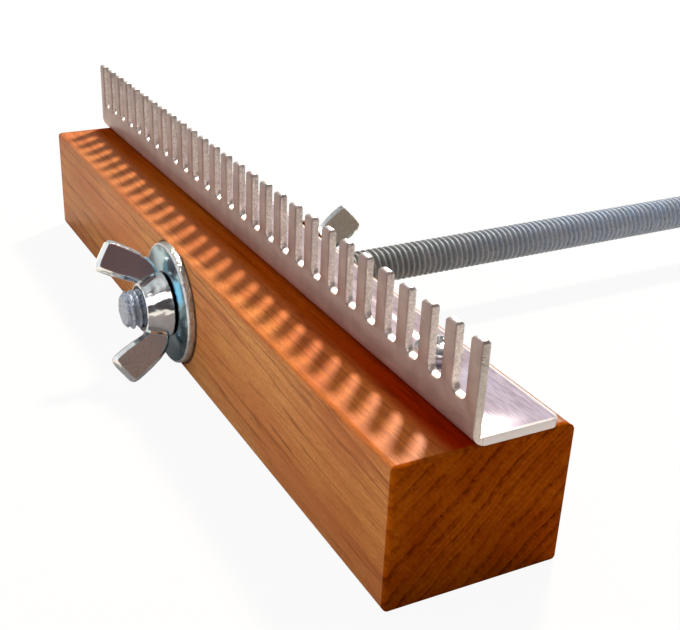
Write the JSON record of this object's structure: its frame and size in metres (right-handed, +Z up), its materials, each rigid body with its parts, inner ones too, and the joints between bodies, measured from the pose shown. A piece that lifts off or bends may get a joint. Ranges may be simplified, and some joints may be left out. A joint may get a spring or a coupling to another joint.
{
  "type": "tapestry loom",
  "caption": "Small tapestry loom: slotted metal combs on wooden beams, held apart on a central threaded rod by wing nuts that set the warp's tension.",
  "frame": {"origin": "under the middle of the rod, in the plane that the beams stand on", "axes": "+X along the beams to the front beam's right end, +Y along the rod from the front beam to the back beam, +Z up"},
  "size_m": [0.174, 0.3128, 0.0422],
  "materials": {
    "beam_wood": "oiled cherry, satin",
    "comb_aluminium": "tumbled, with mill marks",
    "rod_steel": "dull zinc",
    "washer_zinc": "bright zinc, slightly blue",
    "nut_zinc": "bright zinc over a forged surface",
    "screw_steel": "bright zinc"
  },
  "bodies": {
    "rod": {"threaded_rod": "rod_steel"},
    "front_outer_washer": {"front_outer_washer": "washer_zinc"},
    "front_outer_nut": {"front_outer_wing_nut": "nut_zinc"},
    "front_inner_washer": {"front_inner_washer": "washer_zinc"},
    "front_inner_nut": {"front_inner_wing_nut": "nut_zinc"},
    "front_beam": {"front_beam": "beam_wood", "front_comb": "comb_aluminium", "front_comb_screw_left": "screw_steel", "front_comb_screw_right": "screw_steel"},
    "back_outer_washer": {"back_outer_washer": "washer_zinc"},
    "back_outer_nut": {"back_outer_wing_nut": "nut_zinc"},
    "back_inner_washer": {"back_inner_washer": "washer_zinc"},
    "back_inner_nut": {"back_inner_wing_nut": "nut_zinc"},
    "back_beam": {"back_beam": "beam_wood", "back_comb": "comb_aluminium", "back_comb_screw_left": "screw_steel", "back_comb_screw_right": "screw_steel"}
  },
  "joints": [
    {"name": "front_outer_washer_slide", "type": "slide", "parent": "rod", "child": "front_outer_washer", "axis": [0, -1, 0], "range_m": [0, 0.0035]},
    {"name": "front_outer_nut_turn", "type": "hinge", "parent": "front_outer_washer", "child": "front_outer_nut", "pos_m": [0, -0.1431, 0.0131], "axis": [0, -1, 0], "range_deg": [0, 893]},
    {"name": "front_inner_washer_slide", "type": "slide", "parent": "rod", "child": "front_inner_washer", "axis": [0, 1, 0], "range_m": [0, 0.0945]},
    {"name": "front_inner_nut_turn", "type": "hinge", "parent": "front_inner_washer", "child": "front_inner_nut", "pos_m": [0, -0.1087, 0.0131], "axis": [0, 1, 0], "range_deg": [0, 24110]},
    {"name": "front_beam_swivel", "type": "hinge", "parent": "front_inner_washer", "child": "front_beam", "pos_m": [0, -0.126, 0.0131], "axis": [0, 1, 0], "continuous": true},
    {"name": "back_outer_washer_slide", "type": "slide", "parent": "rod", "child": "back_outer_washer", "axis": [0, 1, 0], "range_m": [0, 0.0035]},
    {"name": "back_outer_nut_turn", "type": "hinge", "parent": "back_outer_washer", "child": "back_outer_nut", "pos_m": [0, 0.1431, 0.0131], "axis": [0, 1, 0], "range_deg": [0, 893]},
    {"name": "back_inner_washer_slide", "type": "slide", "parent": "rod", "child": "back_inner_washer", "axis": [0, -1, 0], "range_m": [0, 0.0945]},
    {"name": "back_inner_nut_turn", "type": "hinge", "parent": "back_inner_washer", "child": "back_inner_nut", "pos_m": [0, 0.1087, 0.0131], "axis": [0, -1, 0], "range_deg": [0, 24110]},
    {"name": "back_beam_swivel", "type": "hinge", "parent": "back_inner_washer", "child": "back_beam", "pos_m": [0, 0.126, 0.0131], "axis": [0, 1, 0], "continuous": true}
  ],
  "couplings": [
    {"joint": "front_outer_nut_turn", "follows": "front_outer_washer_slide", "rad_per_m": 4452.7},
    {"joint": "front_inner_nut_turn", "follows": "front_inner_washer_slide", "rad_per_m": 4452.7},
    {"joint": "back_outer_nut_turn", "follows": "back_outer_washer_slide", "rad_per_m": 4452.7},
    {"joint": "back_inner_nut_turn", "follows": "back_inner_washer_slide", "rad_per_m": 4452.7}
  ]
}
